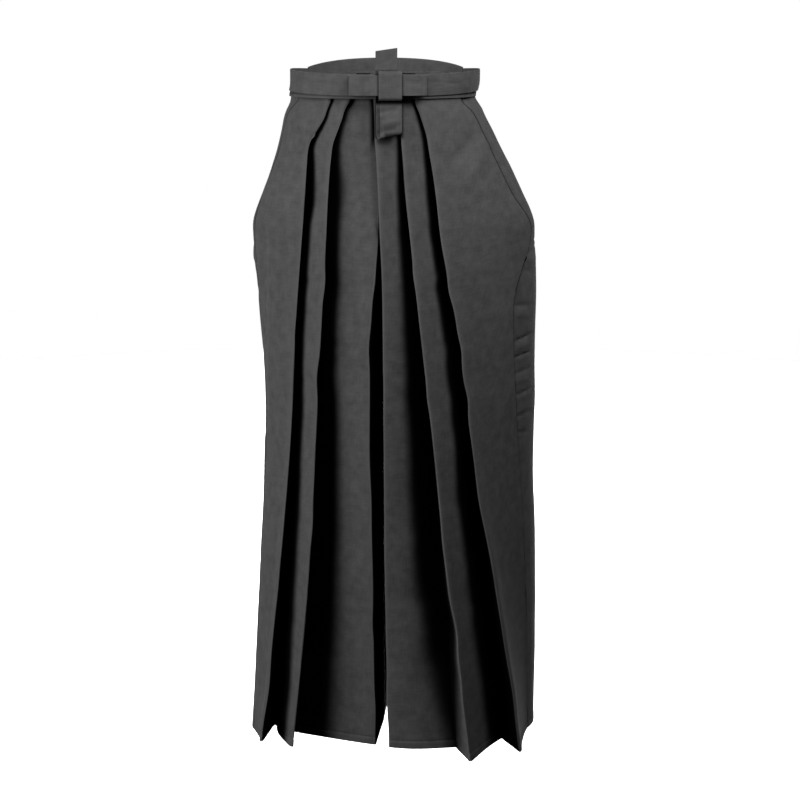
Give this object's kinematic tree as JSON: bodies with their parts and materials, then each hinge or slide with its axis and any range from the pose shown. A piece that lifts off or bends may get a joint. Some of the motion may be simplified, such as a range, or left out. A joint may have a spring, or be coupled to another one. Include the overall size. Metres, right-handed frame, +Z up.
{
  "type": "hakama trousers",
  "caption": "Wide, ankle-length wrapped trousers with deep pressed pleats, a flat tied waist and a low stiff board at the back, filled out as worn.",
  "frame": {"origin": "middle of the waist opening, half way up the flat ties, where the wearer's waist holds the garment", "axes": "+Z up, the wearer would face -Y, the wearer's left is +X"},
  "size_m": [0.4288, 0.3187, 1.0259],
  "materials": {
    "cloth": "matt black twill, pressed, with a faint sheen along the folds",
    "ties": "the same black twill folded in layers and pressed flat, a little smoother"
  },
  "bodies": {
    "root": {"front_right": "cloth", "front_left": "cloth", "back_right": "cloth", "back_left": "cloth", "gusset_right": "cloth", "gusset_left": "cloth", "front_tie": "ties", "back_tie": "ties", "koshi_board": "ties", "bow_loops": "ties", "bow_knot": "ties", "bow_end": "ties"}
  },
  "joints": []
}
